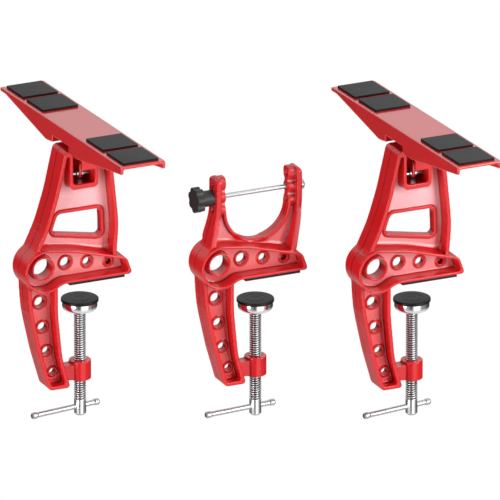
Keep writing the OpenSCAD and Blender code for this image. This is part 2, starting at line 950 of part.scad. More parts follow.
module cross_bar(turn) {
    long_end = bar_short - bar_len;
    edge = 0.8;
    color(steel) translate([0, 0, bar_z]) rotate([0, 0, turn]) rotate([0, 90, 0])
        rotate_extrude() polygon([
            [0, long_end],
            [crimp_r - edge, long_end],
            [crimp_r, long_end + edge],
            [crimp_r, long_end + crimp_len - edge],
            [bar_r, long_end + crimp_len],
            [bar_r, bar_short - crimp_len],
            [crimp_r, bar_short - crimp_len + edge],
            [crimp_r, bar_short - edge],
            [crimp_r - edge, bar_short],
            [0, bar_short]
        ]);
}

// Rod and knob, in the middle pair of cross holes

rod_z = hub_z + ear_hole_heights[1];
left_face = left_ear_x - spindle_reach;
right_face = right_ear_x - spindle_reach;
knob_face = left_face - washer_t;
insert_end = knob_face - insert_len;
rod_end = insert_end + 2;

module along_rod() {
    translate([0, 0, rod_z]) rotate([0, 90, 0]) rotate_extrude() children();
}

module cross_rod() {
    dome_low = right_face + rod_head_h - rod_dome_h;
    dome = [for (k = [0 : 6]) [rod_head_r * cos(15 * k), dome_low + rod_dome_h * sin(15 * k)]];
    color(steel) along_rod() polygon(concat(
        [[0, rod_end], [rod_r - 0.5, rod_end], [rod_r, rod_end + 0.5], [rod_r, right_face]],
        [[rod_head_r, right_face]],
        dome
    ));
}

module knob_insert() {
    color(brass) along_rod() polygon([
        [rod_r + running_fit, insert_end],
        [insert_r, insert_end],
        [insert_r, knob_face],
        [rod_r + running_fit, knob_face]
    ]);
}

module knob_washer() {
    color(steel) along_rod() polygon([
        [rod_r + 2 * running_fit, knob_face],
        [washer_r, knob_face],
        [washer_r, left_face],
        [rod_r + 2 * running_fit, left_face]
    ]);
}

module star_outline() {
    lobe_r = 4.2;
    lobe_depth = 2;
    circle(r = knob_r - lobe_depth);
    for (i = [0 : knob_lobes - 1])
        rotate(360 / knob_lobes * i) translate([knob_r - lobe_r, 0]) circle(r = lobe_r, $fn = 36);
}

module star_knob() {
    shank_end = knob_face - knob_shank;
    color(black) difference() {
        union() {
            translate([shank_end - knob_head, 0, rod_z]) rotate([0, 90, 0])
                linear_extrude(height = knob_head) star_outline();
            bore_x(rod_z, knob_shank_r, shank_end - past, knob_face);
        }
        bore_x(rod_z, insert_r, insert_end, knob_face + past);
    }
}

// Placing

module at_left() {
    translate([left_x, left_y, 0]) children();
}

module at_right() {
    translate([right_x, right_y, 0]) children();
}

// Lowers the spindle and foot of the centre vise, which is screwed further open
module lowered() {
    translate([0, 0, -centre_drop]) children();
}

at_left() end_support_frame();  // left_frame
at_left() rest_plate();  // left_rest_plate
at_left() rubber_pad(0);  // left_pad_1
at_left() rubber_pad(1);  // left_pad_2
at_left() rubber_pad(2);  // left_pad_3
at_left() rubber_pad(3);  // left_pad_4
at_left() pivot_pin();  // left_pivot_pin
at_left() pivot_washers();  // left_pivot_washers
at_left() friction_screw();  // left_friction_screw
at_left() jaw_pad();  // left_jaw_pad
at_left() spindle(bar_turn);  // left_spindle
at_left() foot_cup();  // left_foot_cup
at_left() thrust_washer();  // left_thrust_washer
at_left() foot_cap();  // left_foot_cap
at_left() cross_bar(bar_turn);  // left_cross_bar
at_right() end_support_frame();  // right_frame
at_right() rest_plate();  // right_rest_plate
at_right() rubber_pad(0);  // right_pad_1
at_right() rubber_pad(1);  // right_pad_2
at_right() rubber_pad(2);  // right_pad_3
at_right() rubber_pad(3);  // right_pad_4
at_right() pivot_pin();  // right_pivot_pin
at_right() pivot_washers();  // right_pivot_washers
at_right() friction_screw();  // right_friction_screw
at_right() jaw_pad();  // right_jaw_pad
at_right() spindle(bar_turn);  // right_spindle
at_right() foot_cup();  // right_foot_cup
at_right() thrust_washer();  // right_thrust_washer
at_right() foot_cap();  // right_foot_cap
at_right() cross_bar(bar_turn);  // right_cross_bar
centre_vise_frame();  // centre_frame
jaw_pad();  // centre_jaw_pad
lowered() spindle(centre_bar_turn);  // centre_spindle
lowered() foot_cup();  // centre_foot_cup
lowered() thrust_washer();  // centre_thrust_washer
lowered() foot_cap();  // centre_foot_cap
lowered() cross_bar(centre_bar_turn);  // centre_cross_bar
cross_rod();
star_knob();
knob_insert();
knob_washer();
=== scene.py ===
"""Dresses a set of bench clamps for ski waxing: two end supports and a centre vise."""

import json
import math

import bmesh
import bpy
import numpy
from bpy.props import FloatProperty, FloatVectorProperty, IntProperty, PointerProperty
from mathutils import Matrix, Vector


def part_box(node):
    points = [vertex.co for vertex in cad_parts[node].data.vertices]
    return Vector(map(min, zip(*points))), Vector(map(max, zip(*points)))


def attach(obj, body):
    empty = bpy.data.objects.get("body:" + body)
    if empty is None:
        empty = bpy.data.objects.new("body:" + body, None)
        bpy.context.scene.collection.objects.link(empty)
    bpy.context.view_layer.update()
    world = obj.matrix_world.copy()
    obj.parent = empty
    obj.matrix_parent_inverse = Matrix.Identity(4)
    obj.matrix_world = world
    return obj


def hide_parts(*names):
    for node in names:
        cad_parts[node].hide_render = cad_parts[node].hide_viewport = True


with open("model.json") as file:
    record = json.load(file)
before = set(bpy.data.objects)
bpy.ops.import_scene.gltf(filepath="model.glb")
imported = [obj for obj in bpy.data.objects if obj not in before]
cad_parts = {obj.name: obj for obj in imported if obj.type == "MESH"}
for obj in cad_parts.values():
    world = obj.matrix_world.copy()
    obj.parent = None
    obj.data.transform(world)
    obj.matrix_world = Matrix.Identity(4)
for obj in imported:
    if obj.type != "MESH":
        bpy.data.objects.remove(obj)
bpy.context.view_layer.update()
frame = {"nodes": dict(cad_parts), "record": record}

bl_info = {
    "name": "Ski waxing vise set",
    "version": (1, 0, 0),
    "blender": (4, 5, 0),
    "location": "View3D > Sidebar > Ski vises",
    "description": "Models and paints the castings, spindles, pads and knob of a ski vise set",
    "category": "Object",
}

MM = 0.001
VISES = ("left", "right", "centre")
SUPPORTS = ("left", "right")


def middle(node):
    """Middle of a CAD node's box."""
    low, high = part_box(node)
    return (low + high) / 2


def spindle_axis(vise):
    """Where the spindle's axis passes, as x and y, from the round foot cup."""
    centre = middle(f"{vise}_foot_cup")
    return centre.x, centre.y


def named(entries, name):
    """The entry of a list in the frame's record that has the name."""
    return next(entry for entry in entries if entry["name"] == name)


def joint(name):
    """A joint of the frame's record."""
    return named(frame["record"]["behaviour"]["joints"], name)


def hub_bore(vise):
    """Middle of the big bore through a vise's hub."""
    return Vector(named(frame["record"]["mounts"], f"{vise}_hub_bore")["pos_m"])


# Sizes and colours

# What every colour has in common
RGB = {"size": 3, "min": 0, "max": 1}


class CastingSettings(bpy.types.PropertyGroup):
    voxel: FloatProperty(
        name="Grain of the casting",
        description="Edge length of the mesh that the castings are rounded on",
        default=0.62 * MM,
        min=0.4 * MM,
        max=1.5 * MM,
        unit="LENGTH",
    )
    rounding: IntProperty(
        name="Rounding passes",
        description="Smoothing passes that round the edges of the castings",
        default=4,
        min=0,
        max=40,
    )
    plate_rounding: IntProperty(
        name="Rounding passes of the plates",
        description="Smoothing passes that round the edges of the rest plates",
        default=10,
        min=0,
        max=60,
    )
    faces: IntProperty(
        name="Most triangles",
        description="Triangles that a casting is thinned to",
        default=190000,
        min=20000,
        max=199000,
    )
    corner: FloatProperty(
        name="Corner of the web",
        description="Width of the hollow curve between the arm's web and the jaw",
        default=9 * MM,
        min=2 * MM,
        max=12 * MM,
        unit="LENGTH",
    )
    corner_passes: IntProperty(
        name="Corner passes",
        description="Smoothing passes that shape that curve",
        default=130,
        min=0,
        max=300,
    )
    seam_width: FloatProperty(
        name="Width of the parting seam",
        description="Width of the groove where the two halves of the die met",
        default=1.5 * MM,
        min=0.2 * MM,
        max=2 * MM,
        unit="LENGTH",
    )
    seam_depth: FloatProperty(
        name="Depth of the parting seam",
        description="Depth of that groove",
        default=0.32 * MM,
        min=0,
        max=0.6 * MM,
        unit="LENGTH",
    )


class PaintSettings(bpy.types.PropertyGroup):
    red: FloatVectorProperty(
        name="Red",
        description="Colour of the glossy powder coat",
        subtype="COLOR",
        default=(0.7, 0.0105, 0.0145),
        **RGB,
    )
    # Pale pink that stands for a painted sheen on the grained faces
    web: FloatVectorProperty(
        name="Grained red",
        description="Colour of the grained faces inside the castings",
        subtype="COLOR",
        default=(1.0, 0.6, 0.62),
        **RGB,
    )
    # Pale pink laid on convex edges as a painted highlight
    edge: FloatVectorProperty(
        name="Edge",
        description="Colour of the thin paint on the edges",
        subtype="COLOR",
        default=(0.95, 0.36, 0.38),
        **RGB,
    )
    # Dark red of the parting seam, also laid in concave corners as painted shade
    seam: FloatVectorProperty(
        name="Seam",
        description="Colour of the paint in the parting seam",
        subtype="COLOR",
        default=(0.16, 0.004, 0.006),
        **RGB,
    )
    roughness: FloatProperty(
        name="Roughness",
        description="Roughness of the powder coat",
        default=0.3,
        min=0,
        max=1,
    )


class RubberSettings(bpy.types.PropertyGroup):
    pad: FloatVectorProperty(
        name="Pad",
        description="Colour of the rest pads",
        subtype="COLOR",
        default=(0.045, 0.045, 0.045),
        **RGB,
    )
    black: FloatVectorProperty(
        name="Black rubber",
        description="Colour of jaw pads and foot caps",
        subtype="COLOR",
        default=(0.0035, 0.0035, 0.0035),
        **RGB,
    )
    plastic: FloatVectorProperty(
        name="Black plastic",
        description="Colour of the star knob",
        subtype="COLOR",
        default=(0.012, 0.012, 0.013),
        **RGB,
    )
    edge: FloatProperty(
        name="Rounded edge",
        description="Radius of the edges of a rest pad",
        default=0.3 * MM,
        min=0.1 * MM,
        max=1 * MM,
        unit="LENGTH",
    )


class MetalSettings(bpy.types.PropertyGroup):
    chrome: FloatVectorProperty(
        name="Chrome",
        description="Colour of spindles and cups",
        subtype="COLOR",
        default=(0.82, 0.82, 0.83),
        **RGB,
    )
    steel: FloatVectorProperty(
        name="Bright steel",
        description="Colour of the cross bars and the cross rod",
        subtype="COLOR",
        default=(0.47, 0.47, 0.48),
        **RGB,
    )
    zinc: FloatVectorProperty(
        name="Zinc plate",
        description="Colour of pins, washers and screws",
        subtype="COLOR",
        default=(0.4, 0.4, 0.41),
        **RGB,
    )
    brass: FloatVectorProperty(
        name="Brass",
        description="Colour of the knob's insert",
        subtype="COLOR",
        default=(0.72, 0.5, 0.2),
        **RGB,
    )
    pitch: FloatProperty(
        name="Thread pitch",
        description="Pitch of the clamp spindles",
        default=2.4 * MM,
        min=1 * MM,
        max=4 * MM,
        unit="LENGTH",
    )
    thread_depth: FloatProperty(
        name="Thread depth",
        description="Depth of the spindle's thread",
        default=0.95 * MM,
        min=0.3 * MM,
        max=1.2 * MM,
        unit="LENGTH",
    )


class StageSettings(bpy.types.PropertyGroup):
    azimuth: FloatProperty(
        name="Azimuth",
        description="Camera's turn round the set, from straight in front",
        default=math.radians(-24.5),
        subtype="ANGLE",
    )
    elevation: FloatProperty(
        name="Elevation",
        description="Camera's height over the horizon",
        default=math.radians(20.5),
        subtype="ANGLE",
    )
    distance: FloatProperty(
        name="Distance",
        description="Camera's distance, long so that near and far parts look alike",
        default=16.0,
        unit="LENGTH",
    )
    field: FloatProperty(
        name="Field",
        description="Width and height that the picture covers at the centre vise",
        default=0.5,
        unit="LENGTH",
    )
    aim_right: FloatProperty(
        name="Aim to the right",
        description="Picture's centre to the right of the front of the centre hub",
        default=27.9 * MM,
        unit="LENGTH",
    )
    aim_up: FloatProperty(
        name="Aim up",
        description="Picture's centre above the front of the centre hub",
        default=17.1 * MM,
        unit="LENGTH",
    )


SETTINGS = {
    "vise_castings": CastingSettings,
    "vise_paint": PaintSettings,
    "vise_rubber": RubberSettings,
    "vise_metal": MetalSettings,
    "vise_stage": StageSettings,
}


# Paint

# Painted highlight on convex edges and painted shade in concave corners: bend of the surface at
# which each starts and width of the change, and how much of the painted colour shows
EDGE_HIGHLIGHT_BEND = (0.553, 0.025)
EDGE_HIGHLIGHT_SHARE = 0.6
CORNER_SHADE_BEND = (0.482, 0.03)
CORNER_SHADE_SHARE = 0.8

# How far the grained faces and the seam reach from the parting plane, and how soft they end
WEB_REACH = (4.3 * MM, 0.5 * MM)
SEAM_REACH = (0.6 * MM, 0.35 * MM)

# How much of a normal lies across the parting plane on a grained face and beside the seam
WEB_FACING = (0.9, 0.08)
SEAM_FACING = (0.45, 0.2)

# Painted sheen on the grained faces, which stands for the studio light sheening on their grain, as
# pairs of place and paleness, from the foot of the leg (0) to over the head of the arm (1)
WEB_PAINTED_SHEEN = (
    (0.06, 0.04),
    (0.24, 0.1),
    (0.45, 0.4),
    (0.55, 0.36),
    (0.62, 0.66),
    (0.7, 0.74),
    (0.77, 0.85),
    (0.82, 0.55),
    (0.88, 0.08),
)
LEG_FOOT = -100 * MM
FOOT_TO_HEAD = 250 * MM

# Share of that painted sheen on the centre vise
CENTRE_PAINTED_SHEEN = 0.55

# Scales of the noises, in waves to the metre
GRAIN = 2300.0
ORANGE_PEEL = 420.0
CLOUD = 26.0
PLATE_PEEL = 380.0
PLATE_CLOUD = 18.0
PLASTIC_GRAIN = 2200.0
RUBBER_WEAR = 60.0
METAL_HAZE = 90.0

# The same for marks of turning on metal, across the axis and along it
TURNING_MARKS = (200.0, 200.0, 2600.0)

# Roughness of the grained faces, and how far the roughness of the paint wanders
WEB_ROUGHNESS = 0.5
WANDER = 0.08

# Weak gloss under the coat, for paint and rubber alike
WEAK_SPECULAR = 0.25


# Shader expressions


class Sock:
    """A shader socket with Python's operators, each of which adds a Math node."""

    def __init__(self, tree, socket):
        self.tree = tree
        self.socket = socket

    def math(self, operation, other=None, clamp=False):
        """The outcome of a Math node with this socket as its first value."""
        settings = {"operation": operation, "use_clamp": clamp}
        values = {0: self}
        if other is not None:
            values[1] = other
        return self.tree.node("ShaderNodeMath", settings, values)

    def __add__(self, other):
        return self.math("ADD", other)

    def __mul__(self, other):
        return self.math("MULTIPLY", other)

    def __sub__(self, other):
        return self.math("SUBTRACT", other)

    def __rsub__(self, other):
        return (self * -1.0) + other

    def __truediv__(self, other):
        return self.math("DIVIDE", other)

    def __pow__(self, other):
        return self.math("POWER", other)

    def __abs__(self):
        return self.math("ABSOLUTE")

    def clamped(self):
        """The value, kept between 0 and 1."""
        return self.math("ADD", 0.0, clamp=True)

    def below(self, limit, soft):
        """1 where the value lies under limit, falling to 0 over soft."""
        return ((self * (-1.0 / soft)) + (limit / soft + 0.5)).clamped()

    def above(self, limit, soft):
        """1 where the value lies over limit, rising from 0 over soft."""
        return 1.0 - self.below(limit, soft)


class Nodes:
    """A node tree that is built from expressions."""

    def __init__(self, tree):
        self.tree = tree
        self.tree.nodes.clear()

    def node(self, kind, settings=None, values=None, output=0):
        """A new node with its settings and inputs, as the socket of one of its outputs."""
        made = self.tree.nodes.new(kind)
        for key, value in (settings or {}).items():
            if key == "stops":
                self.stops(made.color_ramp, value)
            else:
                setattr(made, key, value)
        for key, value in (values or {}).items():
            if isinstance(value, Sock):
                self.tree.links.new(value.socket, made.inputs[key])
            else:
                made.inputs[key].default_value = value
        return Sock(self, made.outputs[output])

    @staticmethod
    def stops(ramp, stops):
        """Sets the stops of a colour ramp, which starts with two."""
        for place, colour in stops[2:]:
            ramp.elements.new(place)
        for element, (place, colour) in zip(ramp.elements, stops):
            element.position = place
            element.color = (*colour, 1.0)

    def parts(self, vector):
        """The three numbers of a vector."""
        split = self.tree.nodes.new("ShaderNodeSeparateXYZ")
        self.tree.links.new(vector.socket, split.inputs[0])
        return [Sock(self, split.outputs[i]) for i in range(3)]

    def place(self):
        """Object coordinates as a vector and its three numbers."""
        vector = self.node("ShaderNodeTexCoord", output="Object")
        return vector, *self.parts(vector)

    def facing(self):
        """The true normal's three numbers."""
        return self.parts(self.node("ShaderNodeNewGeometry", output="True Normal"))

    def noise(self, vector, scale, detail=2.0, roughness=0.5):
        """Noise of the scale given, in waves to the metre."""
        return self.node(
            "ShaderNodeTexNoise",
            values={"Vector": vector, "Scale": scale, "Detail": detail, "Roughness": roughness},
        )

    def mix(self, factor, first, second):
        """Mixes two colours."""
        return self.node(
            "ShaderNodeMix",
            {"data_type": "RGBA"},
            {0: factor, 6: first, 7: second},
            output=2,
        )

    def bump(self, height, strength, distance):
        """A normal that stands for the height."""
        return self.node(
            "ShaderNodeBump",
            values={"Height": height, "Strength": strength, "Distance": distance},
        )

    def ramp(self, value, stops):
        """A grey ramp from pairs of place and brightness."""
        return self.node(
            "ShaderNodeValToRGB",
            {"stops": [(place, (v, v, v)) for place, v in stops]},
            {0: value},
        )


class Shader(Nodes):
    """A node material that ends in the Principled shader."""

    def __init__(self, name):
        self.material = bpy.data.materials.new(name)
        self.material.use_nodes = True
        super().__init__(self.material.node_tree)
        self.output = self.tree.nodes.new("ShaderNodeOutputMaterial")

    def painted_highlights_and_shade(self, colour, paint):
        """A colour with a painted highlight on its convex edges and painted shade in its concave
        corners.
        """
        bend = self.node("ShaderNodeNewGeometry", output="Pointiness")
        # Painted highlight where the mesh bends out, painted shade where it bends in
        edge = bend.above(*EDGE_HIGHLIGHT_BEND) * EDGE_HIGHLIGHT_SHARE
        corner = bend.below(*CORNER_SHADE_BEND) * CORNER_SHADE_SHARE
        colour = self.mix(edge, colour, rgba(paint.edge))
        return self.mix(corner, colour, rgba(paint.seam))

    def finish(self, **values):
        """The Principled shader with the values given, joined to the output."""
        shader = self.tree.nodes.new("ShaderNodeBsdfPrincipled")
        for key, value in values.items():
            socket = shader.inputs[key.replace("_", " ")]
            if isinstance(value, Sock):
                self.tree.links.new(value.socket, socket)
            else:
                socket.default_value = value
        self.tree.links.new(shader.outputs[0], self.output.inputs[0])
        return self.material


def grey(value):
    """A grey with its alpha."""
    return (value, value, value, 1)


def rgba(colour, factor=1.0):
    """A colour with its alpha, made darker or lighter by the factor."""
    return (*[min(1.0, c * factor) for c in colour], 1.0)


def painted_casting(name, parting_y, painted_sheen_share):
    """Glossy red powder coat, a painted sheen on the grained faces in the recesses, and a dark
    parting seam.
    """
    paint = bpy.context.scene.vise_paint
    shader = Shader(name)
    vector, _, y, z = shader.place()
    depth = abs(y - parting_y)
    facing_out = abs(shader.facing()[1])
    web = depth.below(*WEB_REACH) * facing_out.above(*WEB_FACING)
    seam = depth.below(*SEAM_REACH) * facing_out.below(*SEAM_FACING)
    grain = shader.noise(vector, GRAIN, 1.0, 0.6)
    cloud = shader.noise(vector, CLOUD)
    peel = shader.noise(vector, ORANGE_PEEL)
    painted_glints = (grain * 3.0 - 1.0).clamped()
    # Painted sheen: the grained faces are painted pale by height, speckled as glints on the grain
    painted_sheen = shader.ramp((z - LEG_FOOT) / FOOT_TO_HEAD, WEB_PAINTED_SHEEN)
    painted_sheen = painted_sheen * (painted_glints * 0.5 + 0.75) * painted_sheen_share + (cloud - 0.5) * 0.2
    light = shader.mix(painted_sheen.clamped(), rgba(paint.red, 1.15), rgba(paint.web))
    red = shader.mix(cloud, rgba(paint.red, 0.92), rgba(paint.red, 1.06))
    # Painted highlight on the edges and painted shade in the corners
    colour = shader.painted_highlights_and_shade(shader.mix(web, red, light), paint)
    colour = shader.mix(seam, colour, rgba(paint.seam))
    roughness = web * (WEB_ROUGHNESS - paint.roughness) + paint.roughness
    height = peel * (1.0 - web) * 0.12 + grain * web
    return shader.finish(
        Base_Color=colour,
        Roughness=roughness + (cloud - 0.5) * WANDER,
        Coat_Weight=web * 0.4 + 0.4,
        Coat_Roughness=0.07,
        Specular_IOR_Level=WEAK_SPECULAR,
        Normal=shader.bump(height, 0.5, 0.12 * MM),
    )


def painted_plate(name):
    """Glossy red powder coat of the rest plates."""
    paint = bpy.context.scene.vise_paint
    shader = Shader(name)
    vector = shader.place()[0]
    cloud = shader.noise(vector, PLATE_CLOUD)
    peel = shader.noise(vector, PLATE_PEEL)
    colour = shader.mix(cloud, rgba(paint.red, 0.92), rgba(paint.red, 1.08))
    # The base colour gets a painted highlight on the edges and painted shade in the corners
    return shader.finish(
        Base_Color=shader.painted_highlights_and_shade(colour, paint),
        Roughness=(cloud - 0.5) * WANDER + paint.roughness,
        Coat_Weight=0.7,
        Coat_Roughness=0.12,
        Normal=shader.bump(peel, 0.12, 0.1 * MM),
    )


def rubber(name, colour, roughness, scale, painted_side_shade=None):
    """Moulded rubber with a matt skin, faint wear and, where given, painted shade on its sides in
    another colour.
    """
    shader = Shader(name)
    vector = shader.place()[0]
    skin = shader.noise(vector, scale, 3.0, 0.6)
    wear = shader.noise(vector, RUBBER_WEAR, 3.0, 0.6)
    tone = shader.mix(wear, rgba(colour, 0.85), rgba(colour, 1.2))
    if painted_side_shade:
        # Painted shade: faces that turn away from the top take the darker side colour
        up = shader.facing()[2]
        tone = shader.mix(up.below(0.75, 0.2), tone, rgba(painted_side_shade))
    return shader.finish(
        Base_Color=tone,
        Roughness=(skin - 0.5) * 0.15 + roughness,
        Specular_IOR_Level=WEAK_SPECULAR,
        Normal=shader.bump(skin, 0.3, 0.08 * MM),
    )


def plastic(name, colour):
    """Black moulded plastic with a fine spark-eroded grain."""
    shader = Shader(name)
    grain = shader.noise(shader.place()[0], PLASTIC_GRAIN, 2.0, 0.6)
    tone = shader.mix(grain, rgba(colour, 0.8), rgba(colour, 1.3))
    return shader.finish(
        Base_Color=tone,
        Roughness=(grain - 0.5) * 0.2 + 0.42,
        Normal=shader.bump(grain, 0.25, 0.06 * MM),
    )


def plated(name, colour, roughness, scratch, thread=None):
    """Plated metal with turning marks, and painted shade in the roots of a thread where one is
    given.
    """
    shader = Shader(name)
    vector, x, y, _ = shader.place()
    stretched = shader.node("ShaderNodeMapping", values={"Vector": vector, "Scale": TURNING_MARKS})
    marks = shader.noise(stretched, 1.0, 2.0, 0.6)
    haze = shader.noise(vector, METAL_HAZE, 3.0, 0.6)
    tone = shader.mix(haze, rgba(colour, 0.93), rgba(colour, 1.04))
    gloss = (haze - 0.5) * 0.1 + roughness
    if thread:
        axis_x, axis_y, root, crest = thread
        across = x - axis_x
        along = y - axis_y
        radius = (across * across + along * along) ** 0.5
        # Painted shade: the roots of the thread are painted near black
        painted_root_shade = radius.below((root + crest) / 2, (crest - root) / 2)
        tone = shader.mix(painted_root_shade, tone, rgba(colour, 0.03))
        gloss = gloss + painted_root_shade * 0.25
    return shader.finish(
        Base_Color=tone,
        Metallic=1.0,
        Roughness=gloss,
        Normal=shader.bump(marks, scratch, 0.02 * MM),
    )


# Mesh work

# Outline of the hub and the jaw's top, as x and z from the middle of the hub's bore
HUB_MIDDLE = (0.9 * MM, -1.7 * MM)
HUB_RADIUS = 22.9 * MM
JAW_TOP = ((4.2 * MM, 20.95 * MM), (34 * MM, 16.6 * MM), (88.8 * MM, 1.2 * MM))

# Half of the web's thickness, how far the softened corner reaches into web and jaw, and where
# it starts before the bore
WEB_HALF = 3.5 * MM
CORNER_BITE = 0.7 * MM
CORNER_START = 12 * MM

# Points that lie closer than this are one
SAME_POINT = 1e-6


def deselect():
    """Leaves edit mode and selects nothing."""
    if bpy.context.object and bpy.context.object.mode != "OBJECT":
        bpy.ops.object.mode_set(mode="OBJECT")
    bpy.ops.object.select_all(action="DESELECT")


def activate(piece):
    """Makes the piece the only selected object."""
    deselect()
    piece.select_set(True)
    bpy.context.view_layer.objects.active = piece


def apply_modifier(piece, kind, **settings):
    """Adds a modifier with its settings and applies it."""
    activate(piece)
    modifier = piece.modifiers.new(kind.title(), kind)
    for key, value in settings.items():
        setattr(modifier, key, value)
    bpy.ops.object.modifier_apply(modifier=modifier.name)


def edit(piece):
    """Opens the piece's mesh for edits with all of it selected."""
    activate(piece)
    bpy.ops.object.mode_set(mode="EDIT")
    bpy.ops.mesh.select_all(action="SELECT")


def object_mode():
    """Ends the edits."""
    bpy.ops.object.mode_set(mode="OBJECT")


def bake_place(piece):
    """Moves the object's place, turn and size into its mesh."""
    activate(piece)
    bpy.ops.object.transform_apply(location=True, rotation=True, scale=True)


def merged_copy(node, name):
    """A copy of a CAD node's mesh with its loose triangles joined."""
    source = frame["nodes"][node]
    piece = bpy.data.objects.new(name, source.data.copy())
    bpy.context.scene.collection.objects.link(piece)
    piece.data.materials.clear()
    edit(piece)
    bpy.ops.mesh.remove_doubles(threshold=SAME_POINT)
    object_mode()
    return piece


def shade(piece, angle=None):
    """Smooth shading, with edges over the angle left sharp where one is given."""
    activate(piece)
    if angle is None:
        bpy.ops.object.shade_smooth()
    else:
        bpy.ops.object.shade_smooth_by_angle(angle=math.radians(angle))


def dress(piece, material, body, nodes):
    """Gives a piece its finish and says what it rides on and stands for."""
    piece.data.materials.clear()
    piece.data.materials.append(material)
    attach(piece, body)
    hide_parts(*nodes)


def round_all_over(piece, voxel, passes, most_faces=None):
    """Rounds every edge of a closed mesh as a casting's are."""
    apply_modifier(piece, "REMESH", mode="VOXEL", voxel_size=voxel)
    apply_modifier(piece, "SMOOTH", factor=0.5, iterations=passes)
    if most_faces:
        thin_out(piece, most_faces)


def thin_out(piece, most_faces):
    """Thins a mesh to the number of triangles given."""
    triangles = sum(len(p.vertices) - 2 for p in piece.data.polygons)
    if triangles > most_faces:
        apply_modifier(piece, "DECIMATE", ratio=most_faces / triangles)


def soften(piece, weights, passes, levels=10):
    """Smooths a mesh where the weights, one for each vertex, are over 0."""
    group = piece.vertex_groups.new(name="corner")
    steps = numpy.rint(weights * levels).astype(int)
    for step in range(1, levels + 1):
        group.add(numpy.flatnonzero(steps == step).tolist(), step / levels, "REPLACE")
    apply_modifier(piece, "SMOOTH", factor=1.0, iterations=passes, vertex_group="corner")
    piece.vertex_groups.clear()


def web_corner(piece, vise, reach):
    """Weights that peak in the corner between the arm's web and the top of the hub and jaw."""
    spots = numpy.empty(len(piece.data.vertices) * 3)
    piece.data.vertices.foreach_get("co", spots)
    x, y, z = spots.reshape(-1, 3).T
    bore = hub_bore(vise)
    along = x - bore.x
    up = z - bore.z
    round_hub = numpy.hypot(along - HUB_MIDDLE[0], up - HUB_MIDDLE[1]) - HUB_RADIUS
    top = numpy.interp(along, [p[0] for p in JAW_TOP], [p[1] for p in JAW_TOP])
    over = numpy.where(along < JAW_TOP[0][0], round_hub, up - top)
    out = abs(y - spindle_axis(vise)[1]) - WEB_HALF
    near = numpy.clip(1 - numpy.hypot(over, out) / reach, 0, 1)
    inside = (over > -CORNER_BITE) & (out > -CORNER_BITE) & (along > -CORNER_START) & (up > 0)
    return numpy.where(inside, numpy.minimum(near * 2, 1), 0)


def press_seam(piece, parting_y, width, depth):
    """Presses the parting seam into the sides of a casting."""
    shape = bmesh.new()
    shape.from_mesh(piece.data)
    shape.normal_update()
    for vertex in shape.verts:
        off = abs(vertex.co.y - parting_y) / (width / 2)
        if off < 1 and abs(vertex.normal.y) < SEAM_FACING[0]:
            vertex.co -= vertex.normal * depth * (1 - off * off)
    shape.to_mesh(piece.data)
    shape.free()


def revolve(name, points, axis=(0, 0), steps=96):
    """A closed turned piece from points of (radius, height, fillet), about an upright axis."""
    bpy.ops.mesh.primitive_circle_add(vertices=3, location=(0, 0, 0))
    piece = bpy.context.object
    piece.name = name
    outline(piece, rounded_profile(points))
    edit(piece)
    bpy.ops.mesh.spin(steps=steps, angle=math.tau, center=(0, 0, 0), axis=(0, 0, 1))
    bpy.ops.mesh.select_all(action="SELECT")
    bpy.ops.mesh.remove_doubles(threshold=SAME_POINT)
    bpy.ops.mesh.normals_make_consistent(inside=False)
    object_mode()
    piece.location = (*axis, 0)
    bake_place(piece)
    return piece


def outline(piece, profile):
    """Makes a piece's mesh an open line through points of (radius, height)."""
    shape = bmesh.new()
    points = [shape.verts.new((r, 0, h)) for r, h in profile]
    for a, b in zip(points, points[1:]):
        shape.edges.new((a, b))
    shape.to_mesh(piece.data)
    shape.free()


def fillet(a, corner, b, radius, steps=5):
    """Points that round a corner of a profile between its neighbours."""
    corner = Vector(corner)
    to_a = (Vector(a) - corner).normalized()
    to_b = (Vector(b) - corner).normalized()
    angle = to_a.angle(to_b)
    reach = radius / math.tan(angle / 2)
    centre = corner + (to_a + to_b).normalized() * radius / math.sin(angle / 2)
    start = corner + to_a * reach - centre
    end = corner + to_b * reach - centre
    arc = [start.slerp(end, k / steps).normalized() * radius for k in range(steps + 1)]
    return [tuple(centre + spoke) for spoke in arc]


def rounded_profile(points):
    """A profile of (radius, height, fillet) with its corners rounded."""
    made = []
    for i, (r, h, radius) in enumerate(points):
        if radius == 0 or i in (0, len(points) - 1):
            made.append((r, h))
        else:
            made += fillet(points[i - 1][:2], (r, h), points[i + 1][:2], radius)
    return made


# Operators


class VISE_OT_castings(bpy.types.Operator):
    """Rounds the three clamp castings and presses their parting seams"""

    bl_idname = "vise.castings"
    bl_label = "Castings"

    def execute(self, context):
        sizes = context.scene.vise_castings
        for vise in VISES:
            node = f"{vise}_frame"
            parting_y = spindle_axis(vise)[1]
            piece = merged_copy(node, f"{vise}_casting")
            round_all_over(piece, sizes.voxel, sizes.rounding)
            soften(piece, web_corner(piece, vise, sizes.corner), sizes.corner_passes)
            thin_out(piece, sizes.faces)
            press_seam(piece, parting_y, sizes.seam_width, sizes.seam_depth)
            shade(piece)
            # Share of the painted sheen on the grained faces
            painted_sheen_share = 1.0 if vise in SUPPORTS else CENTRE_PAINTED_SHEEN
            material = painted_casting(f"{vise}_casting_paint", parting_y, painted_sheen_share)
            dress(piece, material, "root", [node])
        return {"FINISHED"}


def about_pivot(vise, angle):
    """A turn about the tilt pivot of an end support."""
    pivot = Vector(joint(f"{vise}_plate_tilt")["pos_m"])
    turn = Matrix.Rotation(angle, 4, "X")
    return Matrix.Translation(pivot) @ turn @ Matrix.Translation(-pivot)


